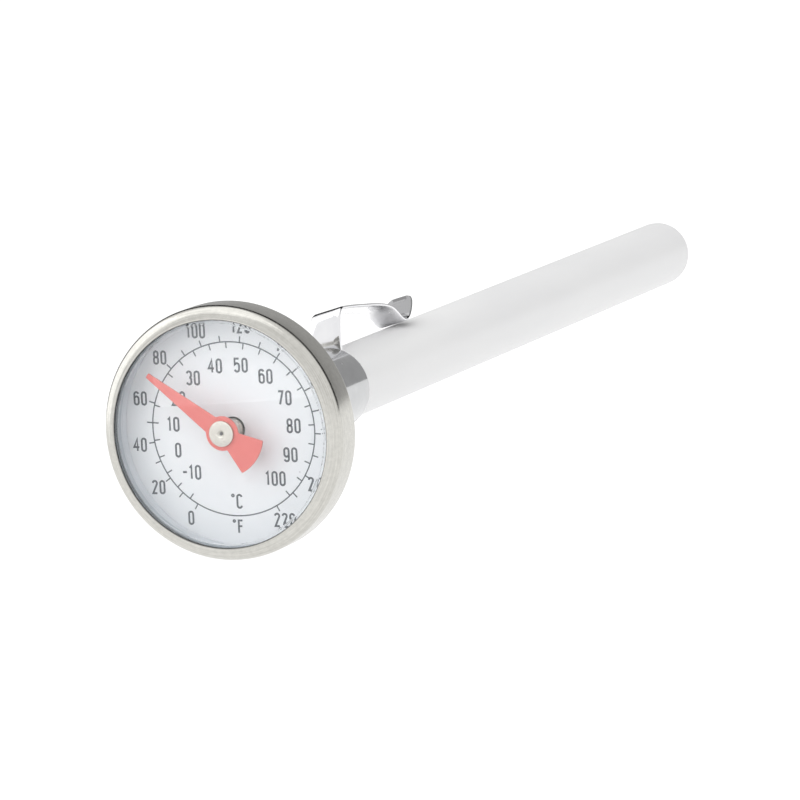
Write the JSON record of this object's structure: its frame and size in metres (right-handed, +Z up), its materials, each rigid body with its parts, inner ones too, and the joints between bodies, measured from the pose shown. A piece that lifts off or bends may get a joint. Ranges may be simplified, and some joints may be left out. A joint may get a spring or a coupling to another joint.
{
  "type": "dial thermometer",
  "caption": "Pocket dial thermometer with a round bimetal dial head on a thin probe stem, stored in a tubular sheath with a pocket clip.",
  "frame": {"origin": "on the stem's axis, where the stem leaves the calibration nut", "axes": "+Y along the stem from the dial to the tip, +Z up through the 12 o'clock of the dial and the pocket clip"},
  "size_m": [0.0282, 0.1492, 0.0282],
  "materials": {
    "stainless": "satin stainless, fine circumferential brushing",
    "crystal": "clear domed acrylic crystal, gloss",
    "gasket": "matte rubber",
    "spacer": "satin pale blue-grey enamel",
    "dial_face": "satin white enamel with dark grey printed scale",
    "pointer_red": "satin red lacquer",
    "nickel": "nickel plate, satin turned face",
    "wire_steel": "drawn steel wire",
    "brass": "turned brass",
    "stem_steel": "drawn stainless tube, fine lengthwise grain",
    "bimetal": "rolled bimetal strip",
    "chrome": "bright chrome plate",
    "sheath_plastic": "satin moulded white plastic"
  },
  "bodies": {
    "stem": {"stem_tube": "stem_steel", "stem_tip_plug": "stem_steel", "dial_bush": "nickel", "calibration_nut": "nickel", "friction_washer": "wire_steel", "upper_shaft_guide": "brass", "lower_shaft_guide": "brass", "coil_anchor": "brass", "bimetal_coil": "bimetal"},
    "head": {"bezel": "stainless", "crystal": "crystal", "crystal_gasket": "gasket", "spacer_ring": "spacer", "dial_plate": "dial_face", "case_back": "stainless"},
    "pointer": {"pointer_blade": "pointer_red", "pointer_hub": "nickel", "pointer_shaft": "wire_steel", "coil_collet": "brass"},
    "sheath": {"sheath_tube": "sheath_plastic", "clip_collar": "chrome"},
    "clip": {"pocket_clip": "chrome"}
  },
  "joints": [
    {"name": "pointer_turn", "type": "hinge", "parent": "stem", "child": "pointer", "pos_m": [0, -0.01405, 0], "axis": [0, 1, 0], "range_deg": [-97, 204.6], "stiffness_Nm_per_rad": 0.0002, "deforming": ["bimetal_coil"]},
    {"name": "head_calibration", "type": "hinge", "parent": "stem", "child": "head", "pos_m": [0, -0.00825, 0], "axis": [0, 1, 0], "continuous": true},
    {"name": "sheath_slide", "type": "slide", "parent": "stem", "child": "sheath", "axis": [0, 1, 0], "range_m": [0, 0.16]},
    {"name": "clip_flex", "type": "hinge", "parent": "sheath", "child": "clip", "pos_m": [0, 0.01696, 0.0045], "axis": [1, 0, 0], "range_deg": [0, 8], "stiffness_Nm_per_rad": 0.5}
  ]
}
